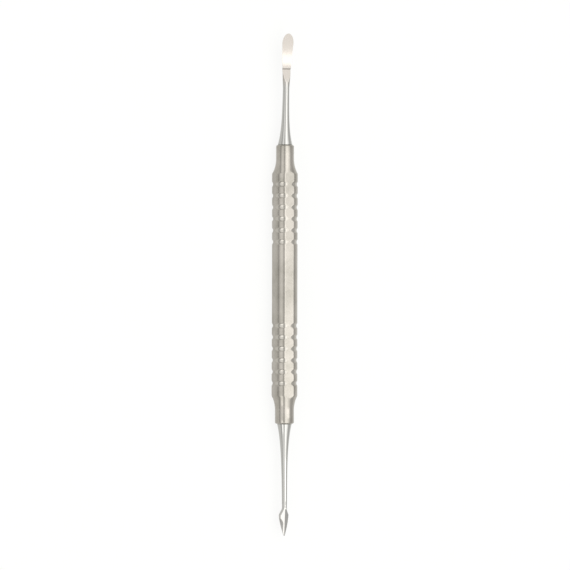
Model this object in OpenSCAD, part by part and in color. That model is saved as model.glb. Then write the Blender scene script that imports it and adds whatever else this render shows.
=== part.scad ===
// Double-ended cuticle pusher: a turned steel handle with a curved pusher blade pressed
// into one end and a barbed cleaner point pressed into the other.
// The tool lies along Y, pusher end towards +Y, on one of its long flats.

/* [Handle] */
// Length of the handle between its two end faces
handle_len = 92; // [84:1:110]
// Diameter of the bar at both ends of the grip
grip_d = 8.5; // [8:0.1:9]
// Diameter of the bar halfway along the grip
waist_d = 8.4; // [8:0.1:9]
// Distance from the handle's axis to each long flat
flat_apothem = 3.92; // [3.8:0.02:3.94]
// Number of long flats milled along the grip
flat_count = 4; // [2:1:4]

/* [Ring grooves] */
// Grooves in each group
groove_count = 6; // [1:1:7]
// Distance between neighbouring grooves
groove_pitch = 3.8; // [3:0.1:4]
// Radius of the bar left at the bottom of a groove
groove_bottom_r = 4; // [3.95:0.01:4.1]
// Radius of the round tool that cuts a groove
groove_tool_r = 1.25; // [0.8:0.05:1.5]
// First groove from the pusher end's face
pusher_groove_start = 13; // [12:0.1:15]
// First groove from the cleaner end's face
cleaner_groove_start = 13.4; // [12:0.1:15]

/* [Necks] */
// Diameter of the neck at the pusher end
pusher_neck_d = 5.9; // [5.4:0.1:6.6]
// Diameter of the neck at the cleaner end
cleaner_neck_d = 6.26; // [5.6:0.02:6.6]
// Length of each plain neck
neck_len = 4.5; // [3:0.1:5]
// Chamfer on each neck's outer edge
neck_chamfer = 0.5; // [0.2:0.05:0.8]
// Radius of the hollow that leads from a neck to the grip
flare_r = 10.4; // [9:0.1:12]

/* [Sockets] */
// Diameter of the drilled socket and of the tang pressed into it
tang_d = 3.2; // [2.6:0.1:3.6]
// Depth of each socket
socket_depth = 12; // [8:0.5:16]
// Room left below each tang
socket_room = 0.6; // [0.2:0.1:2]

/* [Pusher end] */
// Reach of the pusher end beyond the handle
pusher_reach = 36.6; // [34:0.1:40]
// Forward lean of the shank, in degrees
pusher_lean = 2.3; // [0:0.1:3]
// Diameter of the shank at its thinnest
pusher_shank_d = 2.08; // [1.8:0.02:2.4]
// Greatest width of the blade
blade_w = 4; // [3:0.1:5]
// Thickness of the blade at its tip
blade_tip_t = 0.4; // [0.3:0.05:0.6]
// Depth of the hollow across the blade's face
blade_dish = 0.1; // [0.05:0.01:0.2]

/* [Cleaner end] */
// Reach of the cleaner end beyond the handle
cleaner_reach = 37; // [34:0.1:40]
// Diameter of the shank at its thinnest
cleaner_shank_d = 1.62; // [1.4:0.02:2]
// Width of the barbed head across its two corners
head_w = 3.3; // [2.6:0.1:4]
// Forward bend of the point
head_bend = 0.6; // [0:0.1:1]

/* [Hidden] */
$fn = 96;
total_len = pusher_reach + handle_len + cleaner_reach;
handle_start_y = cleaner_reach - total_len / 2;
tang_len = socket_depth - socket_room;
past = 1;               // how far a cutter runs past the metal
root_d = 4.9;           // diameter of each shank where it meets the handle
blade_start = 18.3;     // where the round pusher shank starts to widen
facet_start = 20;       // where the ground facet on the blade's front starts
crease_at = 25.6;       // where the facet meets the blade's face
head_start = 26.5;      // where the cleaner's shank starts to turn into the head
barb_at = 30.1;         // where the head is widest
pusher_fall = 4.8;      // how quickly the pusher shank's root slims down
cleaner_fall = 7;       // how quickly the cleaner shank's root slims down
ring_sides = 28;        // points round one section of a lofted end
loft_step = 0.5;        // distance between sections along a loft

// Linear value between two stations.
function between(s, s0, s1, v0, v1) =
    v0 + (v1 - v0) * min(1, max(0, (s - s0) / (s1 - s0)));

// Signed power, for sections that range from round to boxed or pointed.
function spow(v, p) = sign(v) * pow(abs(v), p);

// Half of the handle's outline, from an end face to the middle: [radius, distance].
// A tangent hollow of radius flare_r climbs from the neck, and an arc rounds the shoulder.
function half_outline(neck_r, shoulder_r) =
    let (
        grip_r = grip_d / 2,
        centre_r = neck_r + flare_r,
        shoulder_c = grip_r - shoulder_r,
        // where the hollow and the shoulder arc touch
        span = flare_r + shoulder_r,
        rise = centre_r - shoulder_c,
        run = sqrt(span * span - rise * rise),
        turn = atan2(run, rise)
    )
    concat(
        [[0, 0], [neck_r - neck_chamfer, 0], [neck_r, neck_chamfer * 0.7]],
        [for (i = [0:8]) let (a = turn * i / 8)
            [centre_r - flare_r * cos(a), neck_len + flare_r * sin(a)]],
        [for (i = [1:4]) let (a = turn * (1 - i / 4))
            [shoulder_c + shoulder_r * cos(a), neck_len + run - shoulder_r * sin(a)]],
        [for (i = [1:4]) let (y = between(i, 0, 4, neck_len + run, handle_len / 2))
            [between(cos(180 * i / 4), 1, -1, grip_r, waist_d / 2), y]]
    );

function mirrored(outline) =
    [for (i = [len(outline) - 2:-1:0]) [outline[i][0], handle_len - outline[i][1]]];

// The revolved bar, standing on its cleaner end face.
module bar() {
    rotate_extrude() polygon(concat(
        half_outline(cleaner_neck_d / 2, 2),
        mirrored(half_outline(pusher_neck_d / 2, 0.8))
    ));
}

module groove_cutter(y) {
    translate([0, 0, y])
        rotate_extrude()
            translate([groove_bottom_r + groove_tool_r, 0]) circle(r = groove_tool_r);
}

module flat_cutter() {
    translate([flat_apothem, -grip_d, 0]) cube([grip_d, 2 * grip_d, handle_len]);
}

module socket_cutter() {
    translate([0, 0, -past]) cylinder(d = tang_d, h = socket_depth + past);
}

// Stands a piece drawn along +Z at the given place along Y, with its front facing +Z.
module laid_along_y(y) {
    translate([0, y, flat_apothem]) rotate([-90, 0, 0]) children();
}

module handle() {
    color("#a3a096")
    laid_along_y(handle_start_y)
    difference() {
        bar();
        for (i = [0:groove_count - 1]) {
            groove_cutter(cleaner_groove_start + i * groove_pitch);
            groove_cutter(handle_len - pusher_groove_start - i * groove_pitch);
        }
        for (i = [0:flat_count - 1]) rotate([0, 0, 90 + i * 360 / flat_count]) flat_cutter();
        socket_cutter();
        translate([0, 0, handle_len]) mirror([0, 0, 1]) socket_cutter();
    }
}

// Radius of a round shank: a bell at the root that falls away to the slim part.
function shank_r(s, slim_d, fall) = slim_d / 2 + (root_d - slim_d) / 2 * exp(-s / fall);

// A round shank along +Z with its tang below zero.
module shank(slim_d, fall, length, lean) {
    rotate([lean, 0, 0])
        rotate_extrude() polygon(concat(
            [[0, 0]],
            [for (i = [0:24]) let (s = length * pow(i / 24, 1.4)) [shank_r(s, slim_d, fall), s]],
            [[0, length]]
        ));
    translate([0, 0, -tang_len]) cylinder(d = tang_d, h = tang_len + 0.3);
}

// Closed skin over a list of rings that each have ring_sides points.
module skin(rings) {
    last = len(rings) - 1;
    polyhedron(
        points = [for (ring = rings) each ring],
        faces = concat(
            [[for (k = [0:ring_sides - 1]) k]],
            [for (i = [0:last - 1], k = [0:ring_sides - 1])
                let (n = (k + 1) % ring_sides, a = i * ring_sides, b = a + ring_sides)
                each [[a + k, b + k, b + n], [a + k, b + n, a + n]]],
            [[for (k = [ring_sides - 1:-1:0]) last * ring_sides + k]]
        )
    );
}

// Front of the blade: the facet falls to the crease, then the face climbs to the tip.
function blade_front(s) =
    s < crease_at
        ? between(s, facet_start, crease_at, pusher_shank_d / 2 + 0.05, 0)
        : between(s, crease_at, pusher_reach, 0, 1.14);

// Back of the blade: level below the facet, then climbing with the face.
function blade_back(s) =
    -pusher_shank_d / 2 + pow(between(s, 23, pusher_reach, 0, 1), 1.25)
        * (1.14 - blade_tip_t + pusher_shank_d / 2);

// Half width of the blade, with a round tip.
function blade_half_w(s) =
    let (
        tip_r = blade_w / 2,
        widest = pusher_reach - 0.9 * tip_r,
        plain = between(s, blade_start, widest, pusher_shank_d / 2, tip_r)
    )
    s < widest ? plain : tip_r * sqrt(max(0.003, 1 - pow((s - widest) / (0.9 * tip_r), 2)));

// One section of the blade: a round back, cut off by a slightly dished front.
function blade_ring(s) =
    let (
        half_w = blade_half_w(s),
        back = blade_back(s),
        front = blade_front(s),
        depth = max(front - back, pusher_shank_d * between(s, facet_start, 30, 1, 0.45)),
        half_h = s < facet_start ? pusher_shank_d / 2 : depth / 2
    )
    [for (k = [0:ring_sides - 1])
        let (a = -360 * k / ring_sides, dished = front - blade_dish * sin(a) * sin(a))
        [half_w * cos(a), -min(dished, back + half_h * (1 + sin(a))), s]];

module pusher_end() {
    stations = [for (s = [blade_start - 0.8:loft_step:pusher_reach - 2]) s];
    tip_stations = [for (i = [0:10]) pusher_reach - 1.8 * pow(1 - i / 10, 1.6)];
    color("#c4c0b6")
    laid_along_y(handle_start_y + handle_len) {
        shank(pusher_shank_d, pusher_fall, blade_start, -pusher_lean);
        rotate([-pusher_lean, 0, 0]) skin([for (s = concat(stations, tip_stations)) blade_ring(s)]);
    }
}

// Half width of the cleaner's head: a hollow flare out to the barb, then straight to the point.
function head_half_w(s) =
    s < barb_at
        ? cleaner_shank_d / 2 + (head_w - cleaner_shank_d) / 2
            * pow(between(s, head_start, barb_at, 0, 1), 3.2)
        : between(s, barb_at, cleaner_reach, head_w / 2, 0.06);

function head_half_t(s) = between(s, head_start, cleaner_reach, cleaner_shank_d / 2, 0.1);

// One section of the head, from round at the shank to a ridged wedge at the point.
function head_ring(s) =
    let (
        power = 2 / between(s, head_start, barb_at, 2, 1.25),
        lift = head_bend * pow(between(s, head_start, cleaner_reach, 0, 1), 1.5)
    )
    [for (k = [0:ring_sides - 1]) let (a = -360 * k / ring_sides)
        [head_half_w(s) * spow(cos(a), power), -lift - head_half_t(s) * spow(sin(a), power), s]];

module cleaner_end() {
    stations = [for (s = [head_start - 0.8:loft_step:cleaner_reach - 0.3]) s];
    color("#c9c8c2")
    laid_along_y(handle_start_y)
    mirror([0, 0, 1]) {
        shank(cleaner_shank_d, cleaner_fall, head_start, 0);
        skin([for (s = concat(stations, [cleaner_reach])) head_ring(s)]);
    }
}

handle();
pusher_end();
cleaner_end();
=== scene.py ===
import math

import bmesh
import bpy
from mathutils import Matrix, Vector


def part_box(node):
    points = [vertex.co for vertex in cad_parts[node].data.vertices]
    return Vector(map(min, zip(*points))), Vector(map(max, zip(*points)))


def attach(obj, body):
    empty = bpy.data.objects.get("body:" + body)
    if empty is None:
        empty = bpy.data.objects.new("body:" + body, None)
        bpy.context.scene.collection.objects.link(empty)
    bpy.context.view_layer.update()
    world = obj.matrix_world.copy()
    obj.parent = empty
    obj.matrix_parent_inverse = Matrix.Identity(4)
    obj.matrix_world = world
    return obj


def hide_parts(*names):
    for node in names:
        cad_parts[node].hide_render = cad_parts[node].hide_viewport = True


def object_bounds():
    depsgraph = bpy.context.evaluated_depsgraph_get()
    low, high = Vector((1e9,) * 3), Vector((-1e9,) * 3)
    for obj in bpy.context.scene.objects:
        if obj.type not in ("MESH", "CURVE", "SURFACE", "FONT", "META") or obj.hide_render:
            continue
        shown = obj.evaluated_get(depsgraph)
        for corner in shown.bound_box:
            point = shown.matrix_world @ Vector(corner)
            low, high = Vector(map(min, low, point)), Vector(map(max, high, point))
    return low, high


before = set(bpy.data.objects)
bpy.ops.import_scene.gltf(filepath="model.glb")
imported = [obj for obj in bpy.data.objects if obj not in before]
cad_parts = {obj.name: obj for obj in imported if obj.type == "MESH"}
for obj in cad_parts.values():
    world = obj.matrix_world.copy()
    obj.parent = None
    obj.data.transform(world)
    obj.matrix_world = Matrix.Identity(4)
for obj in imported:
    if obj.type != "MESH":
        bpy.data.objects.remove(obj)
cadBounds = [list(corner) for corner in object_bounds()]
print("frame loaded")

# lengths in the plans below are mm, and angles are degrees, unless a note says otherwise
mm = 0.001
hair = 0.0005 * mm                               # what counts as touching
handleLow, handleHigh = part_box("handle")
handleStart = handleLow[1]                       # end face next to the cleaner
handleEnd = handleHigh[1]                        # end face next to the pusher
flatLevel = (handleHigh[2] - handleLow[2]) / 2   # from the tool's axis to each long flat
axisHeight = handleLow[2] + flatLevel            # the tool's axis above the table
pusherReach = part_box("pusher_end")[1][1] - handleEnd
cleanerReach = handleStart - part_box("cleaner_end")[0][1]
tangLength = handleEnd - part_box("pusher_end")[0][1]


def fade(value, start, end):
    # 0 before start, 1 after end, straight between
    return min(1, max(0, (value - start) / (end - start)))


def ease(value, start, end):
    # like fade, but leaves and arrives gently
    part = fade(value, start, end)
    return part * part * (3 - 2 * part)


def startBar(name, sides, radius, y):
    # a disc across the tool's axis, left in edit mode and selected
    bpy.ops.object.select_all(action="DESELECT")
    bpy.ops.mesh.primitive_circle_add(vertices=sides, radius=radius, fill_type="NGON",
                                      location=(0, y, axisHeight), rotation=(math.pi / 2, 0, 0))
    piece = bpy.context.object
    piece.name = name
    piece.data.name = name
    bpy.ops.object.transform_apply(location=True, rotation=True, scale=True)
    bpy.ops.object.mode_set(mode="EDIT")
    bpy.ops.mesh.select_mode(type="FACE")
    bpy.ops.mesh.select_all(action="SELECT")
    return piece, {"y": y, "lift": 0, "wide": radius, "tall": radius}


def drawOut(rim, y, lift, wide, tall):
    # pulls the selected end face on to its next place and size
    bpy.ops.mesh.extrude_region_move(
        TRANSFORM_OT_translate={"value": (0, y - rim["y"], lift - rim["lift"])})
    bpy.ops.transform.resize(value=(wide / rim["wide"], 1, tall / rim["tall"]),
                             center_override=(0, y, axisHeight + lift))
    rim.update(y=y, lift=lift, wide=wide, tall=tall)


def pick(piece, test):
    # selects the points of the mesh in edit mode that pass the test
    bpy.ops.mesh.select_mode(type="VERT")
    mesh = bmesh.from_edit_mesh(piece.data)
    for vert in mesh.verts:
        vert.select = test(vert)
    mesh.select_flush_mode()
    bmesh.update_edit_mesh(piece.data)


def grind(piece, point, normal):
    # cuts the piece flat through a point and closes the cut
    bpy.ops.mesh.select_all(action="SELECT")
    bpy.ops.mesh.bisect(plane_co=point, plane_no=normal, use_fill=True, clear_outer=True,
                        threshold=hair)


def finishPiece(piece, smoothAngle, material, node):
    bpy.context.view_layer.objects.active = piece
    bpy.ops.object.mode_set(mode="EDIT")
    bpy.ops.mesh.select_all(action="SELECT")
    bpy.ops.mesh.remove_doubles(threshold=0.002 * mm)
    bpy.ops.mesh.select_all(action="SELECT")
    bpy.ops.mesh.normals_make_consistent(inside=False)
    bpy.ops.object.mode_set(mode="OBJECT")
    bpy.ops.object.select_all(action="DESELECT")
    piece.select_set(True)
    bpy.context.view_layer.objects.active = piece
    bpy.ops.object.shade_smooth_by_angle(angle=math.radians(smoothAngle))
    piece.data.materials.append(material)
    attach(piece, "root")
    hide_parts(node)


def linearColour(hexText):
    channels = [int(hexText[i:i + 2], 16) / 255 for i in (1, 3, 5)]
    return [c / 12.92 if c <= 0.04045 else ((c + 0.055) / 1.055) ** 2.4 for c in channels] + [1]


def addNode(tree, kind, settings=None, links=None):
    # settings: attribute or input name to value; links: input name or number to an output socket
    node = tree.nodes.new(kind)
    for key, value in (settings or {}).items():
        if isinstance(key, str) and hasattr(node, key):
            setattr(node, key, value)
        else:
            node.inputs[key].default_value = value
    for key, source in (links or {}).items():
        tree.links.new(source, node.inputs[key])
    return node


def newSteel(name, roughness):
    material = bpy.data.materials.new(name)
    material.use_nodes = True
    tree = material.node_tree
    tree.nodes.clear()
    output = addNode(tree, "ShaderNodeOutputMaterial")
    shader = addNode(tree, "ShaderNodeBsdfPrincipled", {"Metallic": 1, "Roughness": roughness})
    tree.links.new(shader.outputs["BSDF"], output.inputs["Surface"])
    place = addNode(tree, "ShaderNodeTexCoord").outputs["Object"]
    return material, tree, shader, place


turnedSteelLook = {
    "light": "#ada8a0", "dark": "#9b978e",   # warm grey with darker drifts
    "cut": "#b4b0a8", "cutShine": 0.07,      # ring grooves: a lighter colour as a painted highlight, and less rough, as cut after blasting
    "cutRadius": (4.08, 4.0),                # mm from the axis: no groove, groove
    "cutReach": (3.87, 3.8),                 # mm across or up: on a flat, off it
    "cutEnds": (34.6, 34.4),                 # mm along from the middle: beyond the grooves, among them
    "roughness": 0.21, "drift": 0.04, "driftScale": 160, "driftRange": (0.3, 0.6),
    "turningPitch": 0.3,                     # mm; real feed lines are 0.05 mm, too fine to show
    "lineHeight": 0.0012, "lineScaleAround": 12,   # mm; per metre
}


def turnedSteel():
    # Stainless steel, turned on a lathe, flats milled, then glass-bead blasted.
    # The blasting gives a soft satin glow with no hard mirror image; feed lines stay faintly visible.
    look = turnedSteelLook
    material, tree, shader, place = newSteel("turnedStainless", look["roughness"])
    drift = addNode(tree, "ShaderNodeTexNoise",
                    {"Scale": look["driftScale"], "Detail": 4, "Roughness": 0.6}, {"Vector": place})
    shade = addNode(tree, "ShaderNodeValToRGB", None, {"Fac": drift.outputs["Fac"]})
    for stop, position, tone in zip(shade.color_ramp.elements, look["driftRange"], ("dark", "light")):
        stop.position = position
        stop.color = linearColour(look[tone])
    # where the ring grooves are, which get the painted highlight: nearer the axis than the grip, off the
    # flats, and off the necks
    centred = addNode(tree, "ShaderNodeMapping", {"Location": (0, 0, -axisHeight)}, {"Vector": place})
    across = addNode(tree, "ShaderNodeVectorMath", {"operation": "MULTIPLY", 1: (1, 0, 1)},
                     {0: centred.outputs["Vector"]})
    radius = addNode(tree, "ShaderNodeVectorMath", {"operation": "LENGTH"},
                     {0: across.outputs["Vector"]}).outputs["Value"]
    size = addNode(tree, "ShaderNodeVectorMath", {"operation": "ABSOLUTE"},
                   {0: across.outputs["Vector"]})
    sides = addNode(tree, "ShaderNodeSeparateXYZ", None, {"Vector": size.outputs["Vector"]})
    reach = addNode(tree, "ShaderNodeMath", {"operation": "MAXIMUM"},
                    {0: sides.outputs["X"], 1: sides.outputs["Z"]})
    cut = None
    middle = addNode(tree, "ShaderNodeMath", {"operation": "ABSOLUTE"},
                     {0: addNode(tree, "ShaderNodeSeparateXYZ", None, {"Vector": place}).outputs["Y"]})
    for value, limits in ((radius, "cutRadius"), (reach.outputs["Value"], "cutReach"),
                          (middle.outputs["Value"], "cutEnds")):
        inside = addNode(tree, "ShaderNodeMapRange",
                         {"From Min": look[limits][0] * mm, "From Max": look[limits][1] * mm},
                         {"Value": value}).outputs["Result"]
        if cut is None:
            cut = inside
        else:
            cut = addNode(tree, "ShaderNodeMath", {"operation": "MULTIPLY"},
                          {0: cut, 1: inside}).outputs["Value"]
    # mix in the grooves' lighter colour, a painted highlight
    driftAndGrooveHighlight = addNode(tree, "ShaderNodeMix", {"data_type": "RGBA"})
    driftAndGrooveHighlight.inputs[7].default_value = linearColour(look["cut"])
    tree.links.new(cut, driftAndGrooveHighlight.inputs[0])
    tree.links.new(shade.outputs["Color"], driftAndGrooveHighlight.inputs[6])
    tree.links.new(driftAndGrooveHighlight.outputs[2], shader.inputs["Base Color"])
    rough = addNode(tree, "ShaderNodeMapRange",
                    {"To Min": look["roughness"] - look["drift"],
                     "To Max": look["roughness"] + look["drift"]},
                    {"Value": drift.outputs["Fac"]})
    shine = addNode(tree, "ShaderNodeMath", {"operation": "MULTIPLY_ADD", 1: -look["cutShine"]},
                    {0: cut, 2: rough.outputs["Result"]})
    tree.links.new(shine.outputs["Value"], shader.inputs["Roughness"])
    lineScale = 1 / (look["turningPitch"] * mm)
    around = look["lineScaleAround"]
    rings = addNode(tree, "ShaderNodeMapping", {"Scale": (around, lineScale, around)},
                    {"Vector": place})
    lines = addNode(tree, "ShaderNodeTexNoise", {"Scale": 1, "Detail": 2},
                    {"Vector": rings.outputs["Vector"]})
    bump = addNode(tree, "ShaderNodeBump",
                   {"Strength": 1, "Distance": look["lineHeight"] * mm},
                   {"Height": lines.outputs["Fac"]})
    tree.links.new(bump.outputs["Normal"], shader.inputs["Normal"])
    return material


tipSteelLook = {
    "ground": "#b1aba4", "pointGround": "#b4b2ae", "polished": "#b4b3af",
    "groundRoughness": 0.11, "polishedRoughness": 0.08, "haze": 0.04, "hazeScale": 400,
    "scratchPitch": 0.25, "scratchHeight": 0.0008,   # mm
    "scratchScaleAlong": 60,                         # per metre
}


def polishedSteel(name, ground, groundStart, groundEnd):
    # Stainless steel, forged, then ground with a fine belt and polished on a soft wheel.
    # The shank mirrors the room in long streaks; the ground end is warmer and softer.
    look = tipSteelLook
    material, tree, shader, place = newSteel(name, look["polishedRoughness"])
    along = addNode(tree, "ShaderNodeSeparateXYZ", None, {"Vector": place})
    worn = addNode(tree, "ShaderNodeMapRange", {"From Min": groundStart, "From Max": groundEnd},
                   {"Value": along.outputs["Y"]})
    mix = addNode(tree, "ShaderNodeMix", {"data_type": "RGBA"})
    mix.inputs[6].default_value = linearColour(look["polished"])
    mix.inputs[7].default_value = linearColour(look[ground])
    tree.links.new(worn.outputs["Result"], mix.inputs[0])
    tree.links.new(mix.outputs[2], shader.inputs["Base Color"])
    haze = addNode(tree, "ShaderNodeTexNoise", {"Scale": look["hazeScale"], "Detail": 3},
                   {"Vector": place})
    base = addNode(tree, "ShaderNodeMapRange",
                   {"To Min": look["polishedRoughness"], "To Max": look["groundRoughness"]},
                   {"Value": worn.outputs["Result"]})
    rough = addNode(tree, "ShaderNodeMath", {"operation": "MULTIPLY_ADD", 1: look["haze"]},
                    {0: haze.outputs["Fac"], 2: base.outputs["Result"]})
    tree.links.new(rough.outputs["Value"], shader.inputs["Roughness"])
    across = 1 / (look["scratchPitch"] * mm)
    belt = addNode(tree, "ShaderNodeMapping",
                   {"Scale": (across, look["scratchScaleAlong"], across)}, {"Vector": place})
    lines = addNode(tree, "ShaderNodeTexNoise", {"Scale": 1, "Detail": 2},
                    {"Vector": belt.outputs["Vector"]})
    bump = addNode(tree, "ShaderNodeBump",
                   {"Strength": 1, "Distance": look["scratchHeight"] * mm},
                   {"Height": lines.outputs["Fac"]})
    tree.links.new(bump.outputs["Normal"], shader.inputs["Normal"])
    return material


handlePlan = {
    "sides": 176,
    "gripRadius": 4.25, "waistRadius": 4.2,
    "cleanerNeck": 3.13, "pusherNeck": 2.95, "neckLength": 4.5,
    "flareRadius": 10.4, "cleanerShoulder": 2.0, "pusherShoulder": 0.8,
    "neckEdge": [(0, 0.5), (0.08, 0.3), (0.25, 0.09), (0.45, 0), (2.5, 0)],   # (along, below the neck)
    "socketRadius": 1.6, "socketDepth": 12, "mouthChamfer": 0.15,
    "grooveCount": 6, "groovePitch": 3.8, "grooveDepth": 0.28, "grooveHalf": 0.85,
    "cleanerGroove": 13.4, "pusherGroove": 13.0,
    "waistFrom": 11,                  # from each end face
    "besideGrooves": (-1.9, -1.6, -1.3, 1.3, 1.6, 1.9),   # extra rings, from each groove's middle
    "hollowSteps": 20, "shoulderSteps": 6,
    "edgeSoftening": 2,               # smoothing passes along the flats' edges
}


def endProfile(neck, shoulder):
    # (distance from the end face, radius) from the socket's mouth to the grip
    plan = handlePlan
    grip = plan["gripRadius"]
    hollow = plan["flareRadius"]
    rise = neck + hollow - grip + shoulder
    run = math.sqrt((hollow + shoulder) ** 2 - rise ** 2)
    turn = math.atan2(run, rise)
    bore = plan["socketRadius"]
    mouth = plan["mouthChamfer"]
    points = [(plan["socketDepth"], bore), (mouth, bore), (0, bore + mouth)]
    points += [(y, neck - drop) for y, drop in plan["neckEdge"]]
    start = plan["neckLength"]
    for i in range(plan["hollowSteps"] + 1):
        a = turn * i / plan["hollowSteps"]
        points.append((start + hollow * math.sin(a), neck + hollow * (1 - math.cos(a))))
    for i in range(1, plan["shoulderSteps"] + 1):
        a = turn * (1 - i / plan["shoulderSteps"])
        points.append((start + run - shoulder * math.sin(a), grip - shoulder * (1 - math.cos(a))))
    return points


def grooveCentres(length):
    # both groups of ring grooves, as distances from the cleaner's face
    plan = handlePlan
    steps = [i * plan["groovePitch"] for i in range(plan["grooveCount"])]
    return [plan["cleanerGroove"] + step for step in steps] + [
        length - plan["pusherGroove"] - step for step in steps]


def gripRadiusAt(y, length):
    # radius of the grip at a distance from the cleaner's face: slight waist and ring grooves
    plan = handlePlan
    waist = math.sin(math.pi * fade(y, plan["waistFrom"], length - plan["waistFrom"]))
    radius = plan["gripRadius"] + (plan["waistRadius"] - plan["gripRadius"]) * waist
    tool = (plan["grooveHalf"] ** 2 + plan["grooveDepth"] ** 2) / (2 * plan["grooveDepth"])
    for centre in grooveCentres(length):
        off = abs(y - centre)
        if off < plan["grooveHalf"]:
            radius -= math.sqrt(tool ** 2 - off ** 2) - (tool - plan["grooveDepth"])
    return radius


def handleProfile():
    plan = handlePlan
    length = (handleEnd - handleStart) / mm
    cleaner = endProfile(plan["cleanerNeck"], plan["cleanerShoulder"])
    pusher = endProfile(plan["pusherNeck"], plan["pusherShoulder"])
    fine = plan["grooveHalf"] / 10
    spots = set()
    for centre in grooveCentres(length):
        spots.update(round(centre + k * fine, 3) for k in range(-10, 11))
        spots.update(round(centre + k, 3) for k in plan["besideGrooves"])
    first = cleaner[-1][0]
    last = length - pusher[-1][0]
    group = (plan["grooveCount"] - 1) * plan["groovePitch"]
    plainStart = plan["cleanerGroove"] + group
    plainEnd = length - plan["pusherGroove"] - group
    spots.update(plainStart + (plainEnd - plainStart) * k / 12 for k in range(2, 11))
    spots.update(first + (plan["cleanerGroove"] - first) * k / 6 for k in range(1, 4))
    spots.update(last - (last - length + plan["pusherGroove"]) * k / 6 for k in range(1, 4))
    grip = [(y, gripRadiusAt(y, length)) for y in sorted(spots) if first < y < last]
    return cleaner + grip + [(length - y, r) for y, r in reversed(pusher)]


def onFlat(vert):
    reach = max(abs(vert.co.x), abs(vert.co.z - axisHeight))
    return reach > flatLevel - hair


def onFlatEdge(vert):
    here = onFlat(vert)
    return any(onFlat(edge.other_vert(vert)) != here for edge in vert.link_edges)


def makeHandle(material):
    plan = handlePlan
    profile = handleProfile()
    y, radius = profile[0]
    piece, rim = startBar("handle_body", plan["sides"], radius * mm, handleStart + y * mm)
    for y, radius in profile[1:]:
        drawOut(rim, handleStart + y * mm, 0, radius * mm, radius * mm)
    # mill the four long flats: press what stands above each level down on to it
    for axis, side in ((0, 1), (0, -1), (2, 1), (2, -1)):
        level = side * flatLevel + (axisHeight if axis == 2 else 0)
        pick(piece, lambda vert: (vert.co[axis] - level) * side > 0)
        centre = [0, 0, axisHeight]
        centre[axis] = level
        scale = [1, 1, 1]
        scale[axis] = 0
        bpy.ops.transform.resize(value=scale, center_override=centre)
    # take the sharpness off the flats' edges, as blasting does
    pick(piece, onFlatEdge)
    bpy.ops.mesh.vertices_smooth(factor=0.5, repeat=plan["edgeSoftening"])
    finishPiece(piece, 32, material, "handle")
    print("handle:", len(piece.data.polygons), "faces")


tangPlan = {
    "radius": 1.59, "noseRadius": 1.4, "noseLength": 0.3,
    "rootChamfer": 0.1,               # where the end leaves the handle
    "shankRings": 34, "ringCurve": 1.5, "firstRing": 0.12,
}


def startEnd(name, plan, face, way):
    # the hidden tang and the root's first ring; way is the sign of Y from the handle to the tip
    tang = tangPlan
    chamfer = tang["rootChamfer"]
    piece, rim = startBar(name, plan["sides"], tang["noseRadius"] * mm, face - way * tangLength)
    for s, radius in ((tang["noseLength"] - tangLength / mm, tang["radius"]), (0, tang["radius"]),
                      (0, plan["rootRadius"] - chamfer), (chamfer, plan["rootRadius"])):
        drawOut(rim, face + way * s * mm, 0, radius * mm, radius * mm)
    return piece, rim


def shankStations(end):
    # distances along the round shank, closer together at the root
    count = tangPlan["shankRings"]
    stations = [end * (i / count) ** tangPlan["ringCurve"] for i in range(1, count + 1)]
    return [s for s in stations if s > tangPlan["firstRing"]]


def shankRadius(plan, s):
    return plan["slimRadius"] + (plan["rootRadius"] - plan["slimRadius"]) * math.exp(-s / plan["fall"])


pusherPlan = {
    "sides": 72,
    "rootRadius": 2.45, "slimRadius": 1.04,
    "fall": 4.8,                      # how far the root's bell runs out along the shank
    "lean": 2.3,
    "bladeStart": 18.3, "facetStart": 20.3, "crease": 24.85, "stepUp": 25.35,
    "creaseLevel": -0.1, "faceLevel": 0.2, "tipLevel": 1.25,
    "curve": 1.6,                     # over 1, the blade's front bends up more towards the tip
    "facetMargin": 0.03,              # above the shank, where the facet starts
    "halfWidth": 2.0, "tipLength": 3.2, "tipBlunt": 0.004,
    "creaseThickness": 1.0, "tipThickness": 0.4, "thinning": 0.8,
    "ringStep": 0.25, "tipRings": 20, "tipRingCurve": 1.7,
    "groundFrom": 19, "groundTo": 22,   # where the finish turns from polished to ground
}


def bladeFront(s):
    plan = pusherPlan
    if s < plan["crease"]:
        drop = fade(s, plan["facetStart"], plan["crease"])
        return plan["slimRadius"] + plan["facetMargin"] + (plan["creaseLevel"] - plan["slimRadius"]) * drop
    if s < plan["stepUp"]:
        rise = fade(s, plan["crease"], plan["stepUp"])
        return plan["creaseLevel"] + (plan["faceLevel"] - plan["creaseLevel"]) * rise
    climb = fade(s, plan["stepUp"], pusherReach / mm) ** plan["curve"]
    return plan["faceLevel"] + (plan["tipLevel"] - plan["faceLevel"]) * climb


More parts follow.
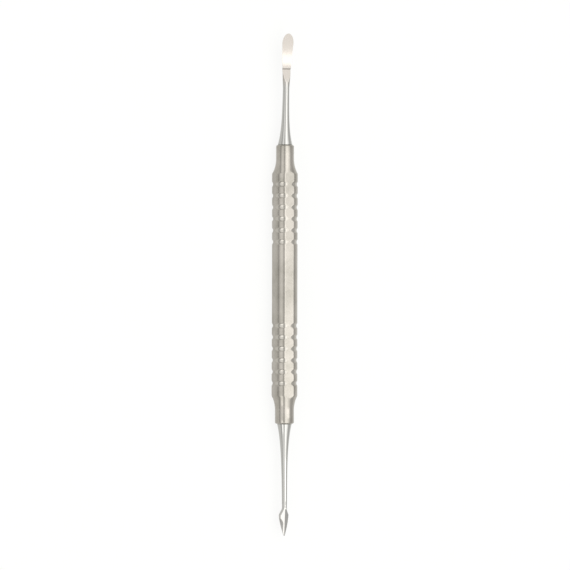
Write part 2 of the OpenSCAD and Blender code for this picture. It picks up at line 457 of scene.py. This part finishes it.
def makePusher(material):
    plan = pusherPlan
    reach = pusherReach / mm
    lean = math.tan(math.radians(plan["lean"]))
    piece, rim = startEnd("pusher_blade", plan, handleEnd, 1)
    slim = plan["slimRadius"]
    for s in shankStations(plan["bladeStart"]):
        radius = shankRadius(plan, s) * mm
        drawOut(rim, handleEnd + s * mm, lean * s * mm, radius, radius)
    # the blade: wide rings whose middle follows the front, so the front can be pressed flat
    wideEnd = reach - plan["tipLength"]
    stations = [plan["bladeStart"] + plan["ringStep"] * i for i in range(1, 200)]
    stations = [s for s in stations if s < wideEnd]
    stations += [plan["crease"], plan["stepUp"]]
    stations += [reach - plan["tipLength"] * (1 - i / plan["tipRings"]) ** plan["tipRingCurve"]
                 for i in range(plan["tipRings"])]
    stations = sorted(stations) + [reach - 0.001]
    for s in stations:
        wide = slim + (plan["halfWidth"] - slim) * fade(s, plan["bladeStart"], wideEnd)
        if s > wideEnd:
            wide *= math.sqrt(max(plan["tipBlunt"], 1 - ((s - wideEnd) / plan["tipLength"]) ** 2))
        thick = slim + (plan["creaseThickness"] - slim) * fade(s, plan["bladeStart"], plan["crease"])
        thinned = fade(s, plan["stepUp"], reach) ** plan["thinning"]
        thick += (plan["tipThickness"] - plan["creaseThickness"]) * thinned
        middle = bladeFront(s) if s > plan["stepUp"] else plan["faceLevel"] * fade(
            s, plan["facetStart"], plan["stepUp"])
        back = middle - thick
        middle = min(middle, bladeFront(s))
        drawOut(rim, handleEnd + s * mm, (lean * s + middle) * mm, wide * mm, (middle - back) * mm)
    # press the facet and the face
    for s in stations:
        if s < plan["facetStart"]:
            continue
        y = handleEnd + s * mm
        level = axisHeight + (lean * s + bladeFront(s)) * mm
        pick(piece, lambda vert: abs(vert.co.y - y) < hair and vert.co.z > level)
        bpy.ops.transform.resize(value=(1, 1, 0), center_override=(0, y, level))
    finishPiece(piece, 30, material, "pusher_end")
    print("pusher end:", len(piece.data.polygons), "faces")


cleanerPlan = {
    "sides": 64,
    "rootRadius": 2.42, "slimRadius": 0.81, "fall": 7.0, "bow": 0.2, "bowFrom": 8,
    "headStart": 26.5, "sinkFrom": 27.6, "shoulderStart": 28.3, "barb": 30.0,
    "halfWidth": 1.66, "shoulderCurve": 1.3, "tipHalfWidth": 0.12, "taper": 1.65,
    "levelFrom": 28.4,                # the levels below run from here to the point
    "backLevel": (-0.78, -0.12),      # the flat back
    "ridgeLevel": (0.95, 0.24),       # the narrow strip along the front
    "frontRise": 0.95, "riseFrom": 27.2,   # left standing proud, then ground away
    "stripMiddle": -0.33, "stripHalfWidth": 0.2, "stripTilt": 8,
    "edgeHeight": 0.06,               # the widest line, above the back
    "ringStep": 0.15,
    "cutterSize": (3.4, 12, 2.5),     # the block that each slope is cut with
    "cornerSteps": 6,
    "groundFrom": 29, "groundTo": 32,   # where the finish turns from polished to ground
    # name: (side, slope in degrees, top end beside the strip, top end far out, corner radius)
    "facets": {
        "rightSlope": (1, 30, 28.0, 28.0, 0.4),
        "leftShoulder": (-1, 16, 28.7, 32.3, 0.4),
        "leftSlope": (-1, 47, 32.2, 28.0, 0.5),
    },
}


def headHalfWidth(s):
    plan = cleanerPlan
    if s < plan["barb"]:
        swell = fade(s, plan["shoulderStart"], plan["barb"]) ** plan["shoulderCurve"]
        return plan["slimRadius"] + (plan["halfWidth"] - plan["slimRadius"]) * swell
    taper = fade(s, plan["barb"], cleanerReach / mm) ** plan["taper"]
    return plan["halfWidth"] + (plan["tipHalfWidth"] - plan["halfWidth"]) * taper


def levelAt(levels, s):
    start = cleanerPlan["levelFrom"]
    return levels[0] + (levels[1] - levels[0]) * (s - start) / (cleanerReach / mm - start)


def cutFacet(piece, side, slope, inner, outer, corner):
    # grinds one slope of the head, from the front strip down to the edge, with a rounded top end
    plan = cleanerPlan
    slope = math.radians(slope)
    levels = plan["ridgeLevel"]
    fall = (levels[0] - levels[1]) / (cleanerReach / mm - plan["levelFrom"])
    outward = Vector((math.cos(slope), 0, -side * math.sin(slope)))
    along = Vector((0, 1, fall)).normalized()
    up = outward.cross(along).normalized()
    outward = along.cross(up)
    wide, long, tall = plan["cutterSize"]
    top = Vector(((plan["stripMiddle"] + side * plan["stripHalfWidth"]) * mm,
                  handleStart - outer * mm, axisHeight + levelAt(levels, outer) * mm))
    middle = top + (outward * side * wide - along * long + up * tall) * mm / 2
    bpy.ops.object.select_all(action="DESELECT")
    bpy.ops.mesh.primitive_cube_add(
        size=1, location=middle, scale=(wide * mm, long * mm, tall * mm),
        rotation=Matrix((outward, along, up)).transposed().to_euler())
    cutter = bpy.context.object
    bpy.ops.object.transform_apply(location=True, rotation=True, scale=True)
    bpy.ops.object.mode_set(mode="EDIT")
    bpy.ops.mesh.select_all(action="DESELECT")
    # slant the block's end, then round the edge between that end and its floor
    pick(cutter, lambda vert: (vert.co - top).dot(along) > -long / 2 * mm
         and (vert.co - top).dot(outward) * side < wide / 2 * mm)
    bpy.ops.transform.translate(value=along * (outer - inner) * mm)
    pick(cutter, lambda vert: (vert.co - top).dot(along) > -long / 2 * mm
         and (vert.co - top).dot(up) < tall / 2 * mm)
    bpy.ops.mesh.bevel(offset=corner * mm, segments=plan["cornerSteps"])
    bpy.ops.object.mode_set(mode="OBJECT")
    bpy.context.view_layer.objects.active = piece
    cut = piece.modifiers.new("facet", "BOOLEAN")
    cut.operation = "DIFFERENCE"
    cut.solver = "EXACT"
    cut.object = cutter
    bpy.ops.object.modifier_apply(modifier=cut.name)
    bpy.data.objects.remove(cutter)


def makeCleaner(material):
    plan = cleanerPlan
    reach = cleanerReach / mm
    piece, rim = startEnd("cleaner_point", plan, handleStart, -1)
    for s in shankStations(plan["headStart"]):
        radius = shankRadius(plan, s) * mm
        bow = plan["bow"] * ease(s, plan["bowFrom"], plan["headStart"])
        drawOut(rim, handleStart - s * mm, bow * mm, radius, radius)
    stations = [plan["headStart"] + plan["ringStep"] * i for i in range(1, 80)]
    stations = [s for s in stations if s < reach - 0.1]
    for s in stations + [reach - 0.001]:
        # the front rises while the widest line sinks to the back
        rise = plan["frontRise"] * ease(s, plan["riseFrom"], plan["barb"])
        front = plan["bow"] + plan["slimRadius"] + rise
        sink = levelAt(plan["backLevel"], s) + plan["edgeHeight"] - plan["bow"]
        lift = plan["bow"] + sink * ease(s, plan["sinkFrom"], plan["barb"])
        tall = front - lift
        drawOut(rim, handleStart - s * mm, lift * mm, headHalfWidth(s) * mm, tall * mm)
    # grind the back, then the front strip, then a slope on each side of it
    tilt = math.radians(plan["stripTilt"])
    for side, levels, across in ((-1, plan["backLevel"], Vector((1, 0, 0))),
                                 (1, plan["ridgeLevel"], Vector((math.cos(tilt), 0, math.sin(tilt))))):
        ends = [Vector((plan["stripMiddle"] * mm, handleStart - s * mm,
                        axisHeight + levelAt(levels, s) * mm)) for s in (plan["levelFrom"], reach)]
        grind(piece, ends[0], across.cross(ends[1] - ends[0]).normalized() * -side)
    bpy.ops.object.mode_set(mode="OBJECT")
    for facet in plan["facets"].values():
        cutFacet(piece, *facet)
    finishPiece(piece, 25, material, "cleaner_end")
    print("cleaner end:", len(piece.data.polygons), "faces")


makeHandle(turnedSteel())
makePusher(polishedSteel(
    "groundStainlessBlade", "ground",
    handleEnd + pusherPlan["groundFrom"] * mm, handleEnd + pusherPlan["groundTo"] * mm))
makeCleaner(polishedSteel(
    "groundStainlessPoint", "pointGround",
    handleStart - cleanerPlan["groundFrom"] * mm, handleStart - cleanerPlan["groundTo"] * mm))


stagePlan = {
    "cameraTurn": 24,          # degrees the camera stands to the left of straight above
    "cameraRoll": 0.14,        # degrees
    "cameraAside": 0.0001,     # metres past the tool's axis, to the right
    "cameraDistance": 1.2, "viewHeight": 0.1881, "sensorHeight": 36,
    "floorSize": 1.6, "floor": "#585857", "glowColour": "#fdfdfc", "floorGlow": 0.875,
    "floorRoughness": 0.9, "floorShine": 0.1,
    # a long tent of white cloth around the tool: brightness by degrees from straight above
    "tent": [(-90, 0.5), (-80, 0.55), (-64, 1.2), (-44, 1.3), (-36, 0.8), (-28, 0.6), (-21, 0.8),
             (-15, 1.95), (5, 2.0), (17, 1.9), (22, 1.4), (27, 1.45), (31, 1.65), (36, 1.4),
             (42, 0.85), (60, 0.67), (84, 0.66), (90, 0.7)],
    "tentStrength": 1.15,
    "tentEnds": (0.8, 0.95),   # where it opens, as the sine of the way along the tool
    "tentOpening": 0.45,       # brightness left at the tent's two open ends
    # name: (turn from straight above towards +X, lean towards +Y, distance, width, length, brightness)
    "softboxes": {
        "lowSoftbox": (27, -5, 2.0, 0.9, 0.19, 1.27),
        "footSoftbox": (-52, -36, 2.0, 0.75, 1.2, 0.7),
    },
}


def makeStage():
    plan = stagePlan
    bpy.ops.object.select_all(action="DESELECT")
    bpy.ops.mesh.primitive_plane_add(size=plan["floorSize"], location=(0, 0, cadBounds[0][2]))
    floor = bpy.context.object
    floor.name = "floor"
    # white paper, lit from below so that it stays white and holds hardly any shadow
    paper = bpy.data.materials.new("whitePaperSweep")
    paper.use_nodes = True
    shader = paper.node_tree.nodes["Principled BSDF"]
    shader.inputs["Base Color"].default_value = linearColour(plan["floor"])
    shader.inputs["Roughness"].default_value = plan["floorRoughness"]
    shader.inputs["Specular IOR Level"].default_value = plan["floorShine"]
    shader.inputs["Emission Color"].default_value = linearColour(plan["glowColour"])
    shader.inputs["Emission Strength"].default_value = plan["floorGlow"]
    floor.data.materials.append(paper)

    world = bpy.data.worlds.new("studio")
    bpy.context.scene.world = world
    world.use_nodes = True
    tree = world.node_tree
    tree.nodes.clear()
    way = addNode(tree, "ShaderNodeTexCoord").outputs["Generated"]
    parts = addNode(tree, "ShaderNodeSeparateXYZ", None, {"Vector": way}).outputs
    turn = addNode(tree, "ShaderNodeMath", {"operation": "ARCTAN2"}, {0: parts["X"], 1: parts["Z"]})
    spread = addNode(tree, "ShaderNodeMapRange",
                     {"From Min": -math.pi / 2, "From Max": math.pi / 2},
                     {"Value": turn.outputs["Value"]})
    tent = addNode(tree, "ShaderNodeValToRGB", None, {"Fac": spread.outputs["Result"]})
    ramp = tent.color_ramp
    while len(ramp.elements) < len(plan["tent"]):
        ramp.elements.new(1)
    for stop, (degrees, glow) in zip(ramp.elements, plan["tent"]):
        stop.position = (degrees + 90) / 180
        stop.color = (glow / 2, glow / 2, glow / 2, 1)
    lengthwise = addNode(tree, "ShaderNodeMath", {"operation": "ABSOLUTE"}, {0: parts["Y"]})
    strength = 2 * plan["tentStrength"]   # the ramp holds half of each brightness
    ends = addNode(tree, "ShaderNodeMapRange",
                   {"From Min": plan["tentEnds"][0], "From Max": plan["tentEnds"][1],
                    "To Min": strength, "To Max": strength * plan["tentOpening"]},
                   {"Value": lengthwise.outputs["Value"]})
    sky = addNode(tree, "ShaderNodeBackground", None,
                  {"Color": tent.outputs["Color"], "Strength": ends.outputs["Result"]})
    addNode(tree, "ShaderNodeOutputWorld", None, {"Surface": sky.outputs["Background"]})

    for name, (turn, lean, distance, width, length, glow) in plan["softboxes"].items():
        light = bpy.data.lights.new(name, "AREA")
        light.shape = "RECTANGLE"
        light.size = width
        light.size_y = length
        light.energy = glow * math.pi * width * length
        lamp = bpy.data.objects.new(name, light)
        bpy.context.collection.objects.link(lamp)
        a, b = math.radians(turn), math.radians(lean)
        way = Vector((math.sin(a) * math.cos(b), math.sin(b), math.cos(a) * math.cos(b)))
        side = Vector((0, 1, 0)).cross(way).normalized()   # the box's length runs along the tool
        lamp.location = way * distance
        lamp.rotation_euler = Matrix((side, way.cross(side), way)).transposed().to_euler()

    camera = bpy.data.objects.new("camera", bpy.data.cameras.new("camera"))
    bpy.context.collection.objects.link(camera)
    a = math.radians(plan["cameraTurn"])
    back = Vector((-math.sin(a), 0, math.cos(a)))
    right = Vector((math.cos(a), 0, math.sin(a)))
    turn = Matrix((right, Vector((0, 1, 0)), back)).transposed().to_4x4()
    turn = turn @ Matrix.Rotation(math.radians(plan["cameraRoll"]), 4, "Z")
    target = Vector((plan["cameraAside"], 0, axisHeight))
    camera.matrix_world = Matrix.Translation(target + back * plan["cameraDistance"]) @ turn
    camera.data.sensor_fit = "VERTICAL"
    camera.data.sensor_height = plan["sensorHeight"]
    camera.data.lens = plan["sensorHeight"] * plan["cameraDistance"] / plan["viewHeight"]
    camera.data.clip_end = 10
    bpy.context.scene.camera = camera
    bpy.context.scene.view_settings.view_transform = "Standard"


makeStage()
print("stage set")
